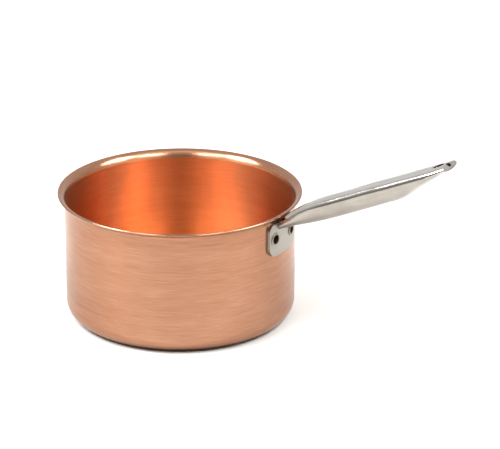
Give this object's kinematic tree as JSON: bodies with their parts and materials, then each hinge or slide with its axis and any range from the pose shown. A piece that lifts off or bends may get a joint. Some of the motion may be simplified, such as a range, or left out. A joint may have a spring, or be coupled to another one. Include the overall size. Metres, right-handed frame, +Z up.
{
  "type": "saucepan",
  "caption": "Straight-sided bare copper saucepan with a flared rim and a hollow, upward-tilted stainless steel handle on a riveted curved bracket, with a hanging hole.",
  "frame": {"origin": "centre of the flat base, on its underside", "axes": "+Z up, along the pan's axis; +X out from the pan along the handle; the part is the same on both sides of the XZ plane"},
  "size_m": [0.2919, 0.1694, 0.1461],
  "materials": {
    "copper": "fine circumferential brushing, semi-bright",
    "handle_steel": "lengthwise satin brushing with polished edges",
    "bracket_steel": "plain satin",
    "rivet_steel": "polished, dark inside the bore"
  },
  "bodies": {
    "root": {"pan_body": "copper", "handle_top": "handle_steel", "handle_belly": "handle_steel", "handle_bracket": "bracket_steel", "rivet_left": "rivet_steel", "rivet_right": "rivet_steel"}
  },
  "joints": []
}
